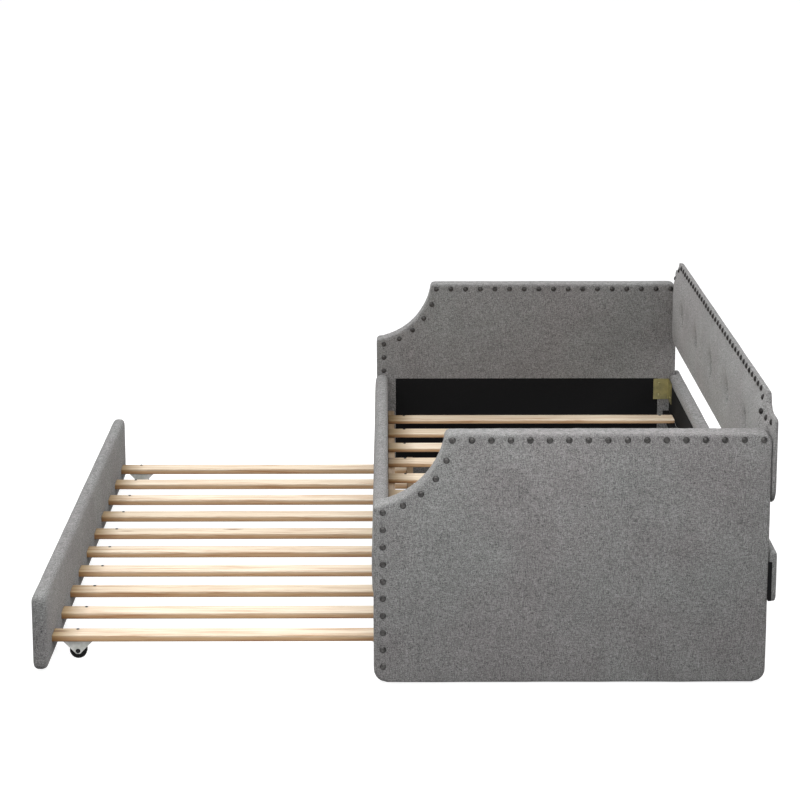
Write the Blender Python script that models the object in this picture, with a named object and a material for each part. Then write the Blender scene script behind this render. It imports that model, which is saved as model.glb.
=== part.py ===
"""Upholstered daybed with a roll-out trundle.

Metres, +Z up, X along the bed's length, +Y towards the back panel.  The origin is on the floor under
the middle of the whole object, with the trundle rolled out to the front.
"""
import math

import bmesh
import bpy
from mathutils import Matrix, Vector

# ---------------------------------------------------------------- driving dimensions
GAP = 0.0003                    # clearance between pieces that touch

LENGTH = 2.070                  # over the outer faces of the two arms
ARM_THICKNESS = 0.070
ARM_DEPTH = 1.0495
ARM_HEIGHT = 0.692
GLIDE_HEIGHT = 0.005
TRUNDLE_REACH = 0.926           # trundle panel's outer face, in front of the arms
BACK_REACH = 1.073              # rearmost face, behind the arms' front edges

SCOOP_RADIUS = 0.220            # concave corner at the front of each arm
SCOOP_CENTRE = (-0.029, 0.712)  # from the arm's front edge, from the floor
SOFT_EDGE = 0.012               # roundover of the upholstered slabs

LINING_THICKNESS = 0.0012
LINING_SIDE = (0.0665, 0.989)   # arm lining, from the arm's front edge
LINING_HEIGHT = (0.035, 0.355)
LINING_DROP = 0.025             # fabric turned over the back rail, above its lining
ARM_BOARD_THICKNESS = 0.022

RAIL_HEIGHT = (0.228, 0.370)
FRONT_RAIL_SPAN = (-0.0034, 0.039)
BACK_RAIL_STEP = 1.050          # the back rail and back panel pass behind the arms from here
BACK_RAIL_FACE = 1.030

PANEL_HEIGHT = (0.490, 0.778)
PANEL_FACE = 1.033
PANEL_BOARD_BACK = 1.0645
PAD_TOP = 0.770
PAD_TAPER = (0.062, 0.011)      # height and depth of the slope along the pad's top edge
SHOULDER_HEIGHT = 0.733
SHOULDER_INSET = 0.070          # from the panel's end to the foot of its scoop
SHOULDER_TIP_RADIUS = 0.018
PANEL_BOTTOM_RADIUS = 0.060

BUTTON_COUNT = 5
BUTTON_PITCH = 0.340
BUTTON_HEIGHT = 0.632
BUTTON_RADIUS = 0.012
BUTTON_THICKNESS = 0.006
DIMPLE_DEPTH = 0.010

SLAT_COUNT = 10
MAIN_SLAT_PITCH = 0.181
MAIN_SLAT_SIZE = (0.070, 0.013)  # width, thickness
LEDGER_WIDTH = 0.022
LEDGER_HEIGHT = (0.219, 0.239)

BRACKET_METAL = 0.0025
BRACKET_HEIGHT = (0.280, 0.3535)
BRACKET_FLANGE = (0.080, 0.0545)  # along the rail, along the arm

TRUNDLE_LENGTH = 1.900
TRUNDLE_PANEL_THICKNESS = 0.040
TRUNDLE_PANEL_HEIGHT = (0.005, 0.218)
TRUNDLE_SLAT_PITCH = 0.1836
TRUNDLE_SLAT_SIZE = (0.060, 0.018)
TRUNDLE_SLAT_TOP = 0.0735
TRUNDLE_SLAT_LENGTH = 0.990
SLAT_SOCKET_DEPTH = 0.012
REAR_RAIL_THICKNESS = 0.022
REAR_RAIL_HEIGHT = (0.030, 0.0735)

WHEEL_RADIUS = 0.024
WHEEL_WIDTH = 0.018
AXLE_RADIUS = 0.004
RIVET_RADIUS = 0.0065
BORE_RADIUS = 0.00412
CASTER_PLATE = (0.032, 0.083)     # across, fore and aft
CASTER_METAL = 0.0025
CASTER_SETBACK = 0.069            # axle behind the trundle panel's inner face
ROUND_SIDES = 24

# ---------------------------------------------------------------- derived places
ARM_FRONT = (TRUNDLE_REACH - BACK_REACH) / 2
ARM_OUTER = LENGTH / 2
ARM_INNER = ARM_OUTER - ARM_THICKNESS
ARM_BACK = ARM_FRONT + ARM_DEPTH
TRUNDLE_FRONT = ARM_FRONT - TRUNDLE_REACH
TRUNDLE_PANEL_BACK = TRUNDLE_FRONT + TRUNDLE_PANEL_THICKNESS
TRUNDLE_SLAT_FRONT = TRUNDLE_PANEL_BACK - SLAT_SOCKET_DEPTH + GAP
TRUNDLE_SLAT_BACK = TRUNDLE_PANEL_BACK + TRUNDLE_SLAT_LENGTH

# ---------------------------------------------------------------- materials
FINISHES = {                      # colour, roughness, metallic
    "upholstery": ((0.160, 0.160, 0.158), 0.90, 0.0),
    "lining": ((0.008, 0.008, 0.009), 0.85, 0.0),
    "board": ((0.420, 0.300, 0.180), 0.75, 0.0),
    "pine": ((0.620, 0.420, 0.240), 0.60, 0.0),
    "zinc_yellow": ((0.420, 0.380, 0.140), 0.40, 1.0),
    "caster_steel": ((0.520, 0.520, 0.500), 0.45, 0.3),
    "black_plastic": ((0.015, 0.015, 0.016), 0.50, 0.0),
    "wheel_tyre": ((0.012, 0.012, 0.012), 0.60, 0.0),
}


def make_material(finish):
    colour, roughness, metallic = FINISHES[finish]
    material = bpy.data.materials.new(finish)
    material.use_nodes = True
    shader = material.node_tree.nodes["Principled BSDF"]
    shader.inputs["Base Color"].default_value = (*colour, 1.0)
    shader.inputs["Roughness"].default_value = roughness
    shader.inputs["Metallic"].default_value = metallic
    material.diffuse_color = (*colour, 1.0)
    return material


# ---------------------------------------------------------------- outlines
def arc(centre, radius, start, end, steps):
    """Points on an arc, angles in degrees."""
    points = []
    for step in range(steps + 1):
        angle = math.radians(start + (end - start) * step / steps)
        points.append((centre[0] + radius * math.cos(angle), centre[1] + radius * math.sin(angle)))
    return points


def filleted(corners, steps=4):
    """Closed outline from (a, b, radius) corners, each rounded to its radius."""
    outline = []
    count = len(corners)
    for index, (a, b, radius) in enumerate(corners):
        corner = Vector((a, b))
        if radius == 0:
            outline.append((a, b))
            continue
        before = (Vector(corners[index - 1][:2]) - corner).normalized()
        after = (Vector(corners[(index + 1) % count][:2]) - corner).normalized()
        half_angle = before.angle(after) / 2
        centre = corner + (before + after).normalized() * (radius / math.sin(half_angle))
        first = corner + before * (radius / math.tan(half_angle)) - centre
        last = corner + after * (radius / math.tan(half_angle)) - centre
        swing = first.angle_signed(last)
        for step in range(steps + 1):
            turned_by = Matrix.Rotation(-swing * step / steps, 2)
            outline.append(tuple(centre + turned_by @ first))
    return outline


# ---------------------------------------------------------------- shape builders
def prism(outline, axis, low, high):
    """Solid made by pushing a closed outline along X, Y or Z."""
    order = {"X": (2, 0, 1), "Y": (0, 2, 1), "Z": (0, 1, 2)}[axis]
    mesh = bmesh.new()
    rings = []
    for level in (low, high):
        ring = []
        for a, b in outline:
            point = (a, b, level)
            ring.append(mesh.verts.new([point[index] for index in order]))
        rings.append(ring)
    mesh.faces.new(rings[0])
    mesh.faces.new(rings[1])
    for index in range(len(outline)):
        follower = (index + 1) % len(outline)
        mesh.faces.new((rings[0][index], rings[0][follower], rings[1][follower], rings[1][index]))
    bmesh.ops.recalc_face_normals(mesh, faces=mesh.faces)
    return mesh


def block(low, high):
    """Rectangular solid between two corners."""
    outline = [(low[0], low[1]), (high[0], low[1]), (high[0], high[1]), (low[0], high[1])]
    return prism(outline, "Z", low[2], high[2])


def turned(profile, axis, sides=ROUND_SIDES):
    """Solid of revolution from (along, radius) points; a radius of 0 is a pole."""
    mesh = bmesh.new()
    rings = []
    for along, radius in profile:
        if radius == 0:
            rings.append([mesh.verts.new((0, 0, along))])
            continue
        ring = []
        for side in range(sides):
            angle = 2 * math.pi * side / sides
            ring.append(mesh.verts.new((radius * math.cos(angle), radius * math.sin(angle), along)))
        rings.append(ring)
    closed = len(rings[0]) > 1
    for index in range(len(rings) if closed else len(rings) - 1):
        lower = rings[index]
        upper = rings[(index + 1) % len(rings)]
        for side in range(sides):
            after = (side + 1) % sides
            corners = [lower[side % len(lower)], lower[after % len(lower)]]
            corners += [upper[after % len(upper)], upper[side % len(upper)]]
            mesh.faces.new(list(dict.fromkeys(corners)))
    bmesh.ops.recalc_face_normals(mesh, faces=mesh.faces)
    turn = {"X": Matrix.Rotation(math.pi / 2, 3, "Y"), "Y": Matrix.Rotation(-math.pi / 2, 3, "X")}
    if axis != "Z":
        bmesh.ops.rotate(mesh, verts=mesh.verts, matrix=turn[axis])
    return mesh


def joined(*parts):
    """One bmesh that holds several."""
    whole = bmesh.new()
    for part in parts:
        mesh = bpy.data.meshes.new("joined")
        part.to_mesh(mesh)
        part.free()
        whole.from_mesh(mesh)
        bpy.data.meshes.remove(mesh)
    return whole


# ---------------------------------------------------------------- objects
def add_frame(name, location):
    frame = bpy.data.objects.new(name, None)
    frame.empty_display_size = 0.1
    frame.location = location
    bpy.context.scene.collection.objects.link(frame)
    return frame


def add_part(name, shape, finish, frame, location=(0, 0, 0)):
    """Object from a bmesh whose coordinates are relative to location."""
    mesh = bpy.data.meshes.new(name)
    shape.to_mesh(mesh)
    shape.free()
    mesh.materials.append(materials[finish])
    part = bpy.data.objects.new(name, mesh)
    bpy.context.scene.collection.objects.link(part)
    part.parent = frame
    part.location = Vector(location) - frame.location
    mesh.shade_smooth()
    mesh.set_sharp_from_angle(angle=math.radians(40))
    return part


def round_edges(part, width, segments):
    bevel = part.modifiers.new("round_edges", "BEVEL")
    bevel.width = width
    bevel.segments = segments
    bevel.limit_method = "ANGLE"
    bevel.angle_limit = math.radians(50)


def cut(part, shape, operation="DIFFERENCE"):
    """Boolean of a part with a hidden cutter given in the part's own coordinates."""
    mesh = bpy.data.meshes.new(part.name + "_cutter")
    shape.to_mesh(mesh)
    shape.free()
    cutter = bpy.data.objects.new(mesh.name, mesh)
    bpy.context.scene.collection.objects.link(cutter)
    cutter.parent = part
    cutter.hide_render = True
    cutter.display_type = "WIRE"
    boolean = part.modifiers.new("cut", "BOOLEAN")
    boolean.operation = operation
    boolean.solver = "EXACT"
    boolean.object = cutter


# ---------------------------------------------------------------- daybed
def arm_outline():
    """Side view of an arm: a slab with a concave scoop at its front top corner."""
    along, up = SCOOP_CENTRE
    low_end = -math.degrees(math.acos(-along / SCOOP_RADIUS))
    high_end = math.degrees(math.asin((ARM_HEIGHT - up) / SCOOP_RADIUS))
    scoop = arc(SCOOP_CENTRE, SCOOP_RADIUS, low_end, high_end, 12)
    corners = [(ARM_DEPTH, GLIDE_HEIGHT, 0.035), (ARM_DEPTH, ARM_HEIGHT, 0.027)]
    corners.append((*scoop[-1], 0.012))
    for point in reversed(scoop[1:-1]):
        corners.append((*point, 0))
    corners.append((*scoop[0], 0.015))
    corners.append((0, GLIDE_HEIGHT, 0.035))
    return [(ARM_FRONT + a, b) for a, b in filleted(corners)]


def add_arm(side_name, side):
    low_side, high_side = [ARM_FRONT + value for value in LINING_SIDE]
    low, high = LINING_HEIGHT
    edges = sorted((side * ARM_INNER, side * ARM_OUTER))
    cover = add_part(side_name + "_arm_cover", prism(arm_outline(), "X", *edges), "upholstery", daybed)
    round_edges(cover, SOFT_EDGE, 2)

    pocket_depth = LINING_THICKNESS + ARM_BOARD_THICKNESS + 3 * GAP
    reach = sorted((side * (ARM_INNER - 0.01), side * (ARM_INNER + pocket_depth)))
    cut(cover, block((reach[0], low_side, low), (reach[1], high_side, high)))

    def layer(start, thickness):
        span = sorted((side * (ARM_INNER + start), side * (ARM_INNER + start + thickness)))
        return block((span[0], low_side + GAP, low + GAP), (span[1], high_side - GAP, high - GAP))

    add_part(side_name + "_arm_lining", layer(GAP, LINING_THICKNESS), "lining", daybed)
    board_start = LINING_THICKNESS + 2 * GAP
    add_part(side_name + "_arm_board", layer(board_start, ARM_BOARD_THICKNESS), "board", daybed)

    glide = [(0, 0), (0, 0.012), (0.0015, 0.0135), (GLIDE_HEIGHT - GAP, 0.0135), (GLIDE_HEIGHT - GAP, 0)]
    for end_name, place in (("front", 0.075), ("back", ARM_DEPTH - 0.075)):
        location = (side * (ARM_OUTER + ARM_INNER) / 2, ARM_FRONT + place, 0)
        name = side_name + "_" + end_name + "_glide"
        add_part(name, turned(glide, "Z", 16), "black_plastic", daybed, location)


def panel_outline(half_width, shoulder_inset, low, high):
    """Front view of the back panel: scooped top corners above low shoulders, round bottom corners."""
    right = arc((half_width - shoulder_inset, high), high - SHOULDER_HEIGHT, 180, 270, 6)
    tip_radius = min(SHOULDER_TIP_RADIUS, shoulder_inset / 2)
    corners = [(half_width, low, PANEL_BOTTOM_RADIUS), (half_width, SHOULDER_HEIGHT, tip_radius)]
    corners += [(*point, 0) for point in reversed(right)]
    corners += [(-a, b, 0) for a, b in right]
    corners += [(-half_width, SHOULDER_HEIGHT, tip_radius), (-half_width, low, PANEL_BOTTOM_RADIUS)]
    return filleted(corners)


def add_back_panel():
    step = ARM_FRONT + BACK_RAIL_STEP
    low, high = PANEL_HEIGHT
    outline = panel_outline(ARM_OUTER, SHOULDER_INSET, low, high)
    board_shape = prism(outline, "Y", step, ARM_FRONT + PANEL_BOARD_BACK)
    board = add_part("back_panel_board", board_shape, "upholstery", daybed)
    round_edges(board, 0.005, 2)

    pad_half = ARM_INNER - 0.002
    pad_inset = pad_half - (ARM_OUTER - SHOULDER_INSET) + 0.004
    outline = panel_outline(pad_half, pad_inset, low, PAD_TOP)
    face = ARM_FRONT + PANEL_FACE
    pad_shape = prism(outline, "Y", face, step - GAP)
    pad = add_part("back_panel_pad", pad_shape, "upholstery", daybed)
    round_edges(pad, 0.006, 2)
    drop, depth = PAD_TAPER
    wedge = [(face - 0.010, PAD_TOP - drop), (face, PAD_TOP - drop), (face + depth, PAD_TOP + 0.001)]
    wedge += [(face - 0.010, PAD_TOP + 0.001)]
    cut(pad, prism(wedge, "X", -ARM_OUTER, ARM_OUTER))

    back = face + DIMPLE_DEPTH
    button = [(0, 0), (0.0015, BUTTON_RADIUS * 0.7), (0.004, BUTTON_RADIUS)]
    button += [(BUTTON_THICKNESS, BUTTON_RADIUS), (BUTTON_THICKNESS, 0)]
    dimples = []
    for index in range(BUTTON_COUNT):
        place = (index - (BUTTON_COUNT - 1) / 2) * BUTTON_PITCH
        location = (place, back - BUTTON_THICKNESS - GAP, BUTTON_HEIGHT)
        name = "tuft_button_" + str(index + 1)
        add_part(name, turned(button, "Y", 16), "upholstery", daybed, location)
        dimple = turned([(-0.01, 0), (-0.01, 0.016), (DIMPLE_DEPTH, 0.0135), (DIMPLE_DEPTH, 0)], "Y", 16)
        bmesh.ops.translate(dimple, verts=dimple.verts, vec=(place, face, BUTTON_HEIGHT))
        dimples.append(dimple)
    cut(pad, joined(*dimples))


def add_rails():
    low, high = RAIL_HEIGHT
    half = ARM_INNER - GAP
    front, back = [ARM_FRONT + value for value in FRONT_RAIL_SPAN]
    section = filleted([(front, low, 0.008), (back, low, 0.004), (back, high, 0.014), (front, high, 0.014)])
    rail = add_part("front_rail", prism(section, "X", -half, half), "upholstery", daybed)

    face = ARM_FRONT + BACK_RAIL_FACE
    step = ARM_FRONT + BACK_RAIL_STEP
    rear = ARM_FRONT + BACK_REACH
    plan = [(-ARM_OUTER, step), (-half, step), (-half, face), (half, face), (half, step)]
    plan += [(ARM_OUTER, step), (ARM_OUTER, rear), (-ARM_OUTER, rear)]
    rail = add_part("back_rail", prism(plan, "Z", low, high), "upholstery", daybed)
    round_edges(rail, 0.006, 2)

    lining_low = LEDGER_HEIGHT[1] + 0.003
    end = half - 0.01
    front = face - GAP - LINING_THICKNESS
    lining = block((-end, front, lining_low), (end, face - GAP, high - LINING_DROP))
    add_part("back_rail_lining", lining, "lining", daybed)


def add_slats():
    """Ledgers on both rails, and slats across them."""
    half = ARM_INNER - 0.004
    low, high = LEDGER_HEIGHT
    front = ARM_FRONT + FRONT_RAIL_SPAN[1] + GAP
    back = ARM_FRONT + BACK_RAIL_FACE - GAP
    for name, start in (("front_slat_ledger", front), ("back_slat_ledger", back - LEDGER_WIDTH)):
        shape = block((-half, start, low), (half, start + LEDGER_WIDTH, high))
        ledger = add_part(name, shape, "pine", daybed)
        round_edges(ledger, 0.001, 1)

    width, thickness = MAIN_SLAT_SIZE
    slat_back = back - LINING_THICKNESS - 2 * GAP
    length = slat_back - front
    base = high + GAP
    for index in range(SLAT_COUNT):
        place = (index - (SLAT_COUNT - 1) / 2) * MAIN_SLAT_PITCH
        shape = block((-width / 2, -length / 2, 0), (width / 2, length / 2, thickness))
        location = (place, (front + slat_back) / 2, base)
        slat = add_part("main_slat_%02d" % (index + 1), shape, "pine", daybed, location)
        round_edges(slat, 0.002, 1)


def add_corner_bracket(side_name, side):
    """Bent steel angle that ties an arm to the back rail."""
    rail_flange, arm_flange = BRACKET_FLANGE
    arm_face = ARM_INNER - GAP
    rail_face = ARM_FRONT + BACK_RAIL_FACE - LINING_THICKNESS - 2 * GAP
    plan = [(arm_face, rail_face), (arm_face - rail_flange, rail_face)]
    plan += [(arm_face - rail_flange, rail_face - BRACKET_METAL)]
    plan += [(arm_face - BRACKET_METAL, rail_face - BRACKET_METAL)]
    plan += [(arm_face - BRACKET_METAL, rail_face - arm_flange), (arm_face, rail_face - arm_flange)]
    shape = prism([(side * a, b) for a, b in plan], "Z", *BRACKET_HEIGHT)
    add_part(side_name + "_corner_bracket", shape, "zinc_yellow", daybed)


# ---------------------------------------------------------------- trundle
def trundle_slat_places():
    return [(index - (SLAT_COUNT - 1) / 2) * TRUNDLE_SLAT_PITCH for index in range(SLAT_COUNT)]


def add_trundle_panel():
    """Upholstered front board with a row of sockets for the slats in its inner face."""
    low, high = TRUNDLE_PANEL_HEIGHT
    half = TRUNDLE_LENGTH / 2
    outline = filleted([(-half, low, 0.020), (half, low, 0.020), (half, high, 0.015), (-half, high, 0.015)])
    shape = prism(outline, "Y", 0, TRUNDLE_PANEL_THICKNESS)
    location = (0, TRUNDLE_FRONT, 0)
    panel = add_part("trundle_front_panel", shape, "upholstery", trundle, location)
    round_edges(panel, SOFT_EDGE, 2)

    width, thickness = TRUNDLE_SLAT_SIZE
    socket_floor = TRUNDLE_PANEL_THICKNESS - SLAT_SOCKET_DEPTH
    sockets = []
    for place in trundle_slat_places():
        left = place - width / 2 - GAP
        right = place + width / 2 + GAP
        base = TRUNDLE_SLAT_TOP - thickness - GAP
        sockets.append(block((left, socket_floor, base), (right, 0.05, TRUNDLE_SLAT_TOP + GAP)))
    cut(panel, joined(*sockets))


def add_trundle_slats():
    width, thickness = TRUNDLE_SLAT_SIZE
    length = TRUNDLE_SLAT_BACK - TRUNDLE_SLAT_FRONT
    middle = (TRUNDLE_SLAT_FRONT + TRUNDLE_SLAT_BACK) / 2
    for index, place in enumerate(trundle_slat_places()):
        shape = block((-width / 2, -length / 2, -thickness), (width / 2, length / 2, 0))
        location = (place, middle, TRUNDLE_SLAT_TOP)
        slat = add_part("trundle_slat_%02d" % (index + 1), shape, "pine", trundle, location)
        round_edges(slat, 0.002, 1)

    half = TRUNDLE_LENGTH / 2
    rail_front = TRUNDLE_SLAT_BACK + GAP
    low, high = REAR_RAIL_HEIGHT
    rail_shape = block((-half, rail_front, low), (half, rail_front + REAR_RAIL_THICKNESS, high))
    rail = add_part("trundle_rear_rail", rail_shape, "pine", trundle)
    round_edges(rail, 0.002, 1)


def add_caster_bracket(name, location):
    """Fork of pressed steel: a channel whose cheeks taper down to the axle."""
    across, along = CASTER_PLATE
    outer = across / 2
    inner = outer - CASTER_METAL
    top = TRUNDLE_SLAT_TOP - TRUNDLE_SLAT_SIZE[1] - GAP - WHEEL_RADIUS
    web = top - CASTER_METAL
    foot = 0.0085

    channel = [(-outer, -foot), (-inner, -foot), (-inner, web), (inner, web), (inner, -foot)]
    channel += [(outer, -foot), (outer, top), (-outer, top)]
    bracket = add_part(name, prism(channel, "Y", -along / 2, along / 2), "caster_steel", trundle, location)

    cheek = [(-along / 2, 0.05), (-along / 2, web), (-foot, -foot * 0.6), (-foot * 0.6, -foot)]
    cheek += [(foot * 0.6, -foot), (foot, -foot * 0.6), (along / 2, web), (along / 2, 0.05)]
    cut(bracket, prism(cheek, "X", -across, across), "INTERSECT")
    hole_radius = AXLE_RADIUS + 2 * GAP
    cut(bracket, turned([(-across, 0), (-across, hole_radius), (across, hole_radius), (across, 0)], "X"))


def add_caster(corner_name, side, place, wheel_name):
    """Fixed caster under an end slat: bracket, riveted axle and wheel on its own axis."""
    location = (side * trundle_slat_places()[-1], place, WHEEL_RADIUS)
    across = CASTER_PLATE[0]
    add_caster_bracket(corner_name + "_caster_bracket", location)

    head = across / 2 + GAP
    end = head + 0.003
    axle = [(-end, 0), (-end, 0.0045), (-head - 0.001, RIVET_RADIUS), (-head, RIVET_RADIUS)]
    axle += [(-head, AXLE_RADIUS), (head, AXLE_RADIUS)]
    axle += [(head, RIVET_RADIUS), (head + 0.001, RIVET_RADIUS), (end, 0.0045), (end, 0)]
    add_part(corner_name + "_caster_axle", turned(axle, "X"), "black_plastic", trundle, location)

    half = WHEEL_WIDTH / 2
    hub = half + 0.0025
    wheel = [(-half, BORE_RADIUS * 2.2), (-half, WHEEL_RADIUS - 0.0025), (-half + 0.0025, WHEEL_RADIUS)]
    wheel += [(half - 0.0025, WHEEL_RADIUS), (half, WHEEL_RADIUS - 0.0025), (half, BORE_RADIUS * 2.2)]
    wheel += [(hub, BORE_RADIUS * 2.0), (hub, BORE_RADIUS), (-hub, BORE_RADIUS), (-hub, BORE_RADIUS * 2.0)]
    axis = add_frame(wheel_name + "_axis", location)
    axis.parent = trundle
    axis.location = Vector(location) - trundle.location
    add_part(wheel_name, turned(wheel, "X"), "wheel_tyre", axis, axis.location)


# ---------------------------------------------------------------- build
for old in list(bpy.data.objects):
    bpy.data.objects.remove(old, do_unlink=True)

materials = {finish: make_material(finish) for finish in FINISHES}
daybed = add_frame("daybed_frame", Vector((0, 0, 0)))
trundle = add_frame("trundle_slide_axis", Vector((0, TRUNDLE_FRONT, 0)))

SIDES = (("left", -1), ("right", 1))
for side_name, side in SIDES:
    add_arm(side_name, side)
    add_corner_bracket(side_name, side)
add_back_panel()
add_rails()
add_slats()

add_trundle_panel()
add_trundle_slats()
AXLE_PLACES = (("front", TRUNDLE_PANEL_BACK + CASTER_SETBACK), ("rear", TRUNDLE_SLAT_BACK - CASTER_SETBACK))
for side_name, side in SIDES:
    for end_name, place in AXLE_PLACES:
        corner_name = end_name + "_" + side_name
        add_caster(corner_name, side, place, corner_name + "_wheel")
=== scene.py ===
"""Visual model of the upholstered daybed with its roll-out trundle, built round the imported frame."""
import math

import bmesh
import bpy
import numpy as np
from mathutils import Matrix, Vector
from mathutils.kdtree import KDTree


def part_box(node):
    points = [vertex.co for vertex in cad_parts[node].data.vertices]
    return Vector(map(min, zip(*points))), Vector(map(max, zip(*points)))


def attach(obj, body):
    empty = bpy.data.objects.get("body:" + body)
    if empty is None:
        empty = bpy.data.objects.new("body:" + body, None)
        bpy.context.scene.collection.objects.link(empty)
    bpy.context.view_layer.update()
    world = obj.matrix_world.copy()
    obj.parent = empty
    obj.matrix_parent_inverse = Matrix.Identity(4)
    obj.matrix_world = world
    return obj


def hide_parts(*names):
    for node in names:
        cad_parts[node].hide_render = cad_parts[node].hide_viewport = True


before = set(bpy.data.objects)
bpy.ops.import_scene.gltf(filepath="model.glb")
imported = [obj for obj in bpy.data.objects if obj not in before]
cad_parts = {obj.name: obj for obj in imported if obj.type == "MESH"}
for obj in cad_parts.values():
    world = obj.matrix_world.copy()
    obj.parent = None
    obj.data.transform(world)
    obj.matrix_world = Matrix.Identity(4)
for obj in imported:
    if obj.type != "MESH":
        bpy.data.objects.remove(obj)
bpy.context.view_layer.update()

# ---------------------------------------------------------------- driving values, in metres
CAMERA_PLACE = (6.7757, -0.0344, 2.2447)
CAMERA_LENS_MM = 101.862
CAMERA_PITCH = math.radians(11.228)
CAMERA_YAW = math.radians(0.314)
CAMERA_SHIFT_Y = -0.15
SKY_ABOVE = 0.42
SKY_BELOW = 0.14

NAIL_RADIUS = 0.0088
NAIL_RISE = 0.0042
PANEL_NAIL_RISE = 0.0062
NAIL_SINK = 0.0014
NAIL_INSET = 0.021
NAIL_PITCH = 0.051
COLUMN_PITCH = 0.0475
SCOOP_RADIUS = 0.220
SCOOP_CENTRE = (-0.029, 0.712)
SHOULDER_INSET = 0.070
SHOULDER_HEIGHT = 0.733
PANEL_FOOT_RADIUS = 0.060
TIP_RADIUS = 0.014
RAIL_CROWN = 0.0018
ARM_CROWN = 0.0022
PAD_CROWN = 0.0050
PAD_TOP_SETBACK = 0.0150
TUFT_DEPTH = 0.0145
TUFT_REACH = 0.026
CREASE_DEPTH = 0.0150
CREASE_REACH = 0.032
NAIL_DIMPLE = 0.0024
NAIL_DIMPLE_REACH = 0.0135
WAVE_HEIGHT = 0.0006
VOXEL = 0.0055           # face size of the remeshed fabric
SMOOTHING = 4
CLOTH_FRAMES = 15
CLOTH_REACH = 0.004      # furthest that the simulation may move a point
SLAT_COUNT = 10
BUTTON_COUNT = 5
STAPLE_PITCH = 0.062
LINING_CELL = 0.009
LINING_THICKNESS = 0.0007

rng = np.random.default_rng(7)


# ---------------------------------------------------------------- places read from the frame
def span(node):
    low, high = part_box(node)
    return Vector(low), Vector(high)


ARM_LOW, ARM_HIGH = span("right_arm_cover")
ARM_FRONT = ARM_LOW.y
ARM_BACK = ARM_HIGH.y
ARM_TOP = ARM_HIGH.z
ARM_INNER = ARM_LOW.x
ARM_OUTER = ARM_HIGH.x


# ---------------------------------------------------------------- materials
class Tree:
    """Short names for the nodes that every material here is made of."""

    def __init__(self, name, colour, roughness):
        self.material = bpy.data.materials.new(name)
        self.material.use_nodes = True
        self.nodes = self.material.node_tree.nodes
        self.links = self.material.node_tree.links
        self.shader = self.nodes["Principled BSDF"]
        self.shader.inputs["Base Color"].default_value = (*colour, 1)
        self.shader.inputs["Roughness"].default_value = roughness
        source = self.nodes.new("ShaderNodeTexCoord")
        self.place = source.outputs["Object"]
        self.generated = source.outputs["Generated"]

    def stretched(self, scale):
        mapping = self.nodes.new("ShaderNodeMapping")
        mapping.inputs["Scale"].default_value = scale
        self.links.new(self.place, mapping.inputs["Vector"])
        return mapping.outputs["Vector"]

    def noise(self, scale, detail=2.0, roughness=0.5, distortion=0.0):
        node = self.nodes.new("ShaderNodeTexNoise")
        node.inputs["Scale"].default_value = 1.0
        node.inputs["Detail"].default_value = detail
        node.inputs["Roughness"].default_value = roughness
        node.inputs["Distortion"].default_value = distortion
        self.links.new(self.stretched(scale), node.inputs["Vector"])
        return node.outputs["Fac"]

    def cells(self, scale):
        node = self.nodes.new("ShaderNodeTexVoronoi")
        node.inputs["Scale"].default_value = 1.0
        self.links.new(self.stretched(scale), node.inputs["Vector"])
        return node.outputs["Distance"]

    def ramp(self, value, stops):
        node = self.nodes.new("ShaderNodeValToRGB")
        elements = node.color_ramp.elements
        while len(elements) < len(stops):
            elements.new(0.5)
        for element, (place, colour) in zip(elements, stops):
            element.position = place
            element.color = (*colour, 1)
        self.links.new(value, node.inputs["Fac"])
        return node.outputs["Color"]

    def math(self, operation, first, second):
        node = self.nodes.new("ShaderNodeMath")
        node.operation = operation
        for socket, value in zip(node.inputs, (first, second)):
            if isinstance(value, (int, float)):
                socket.default_value = value
            else:
                self.links.new(value, socket)
        return node.outputs["Value"]

    def blend(self, first, first_share, second, second_share):
        """Weighted sum of two values."""
        second_part = self.math("MULTIPLY", second, second_share)
        return self.math("ADD", self.math("MULTIPLY", first, first_share), second_part)

    def multiplied(self, first, *others):
        """Product of colours."""
        product = first
        for other in others:
            node = self.nodes.new("ShaderNodeMix")
            node.data_type = "RGBA"
            node.blend_type = "MULTIPLY"
            node.inputs["Factor"].default_value = 1.0
            self.links.new(product, node.inputs[6])
            self.links.new(other, node.inputs[7])
            product = node.outputs[2]
        return product

    def bump(self, height, distance, strength=1.0):
        node = self.nodes.new("ShaderNodeBump")
        node.inputs["Strength"].default_value = strength
        node.inputs["Distance"].default_value = distance
        self.links.new(height, node.inputs["Height"])
        self.links.new(node.outputs["Normal"], self.shader.inputs["Normal"])

    def colour(self, value):
        self.links.new(value, self.shader.inputs["Base Color"])

    def roughness(self, value, low, high):
        node = self.nodes.new("ShaderNodeMapRange")
        node.inputs["To Min"].default_value = low
        node.inputs["To Max"].default_value = high
        self.links.new(value, node.inputs["Value"])
        self.links.new(node.outputs["Result"], self.shader.inputs["Roughness"])


def between(first, second, share):
    """Colour part of the way from the first to the second."""
    return tuple((1 - share) * a + share * b for a, b in zip(first, second))


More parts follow.
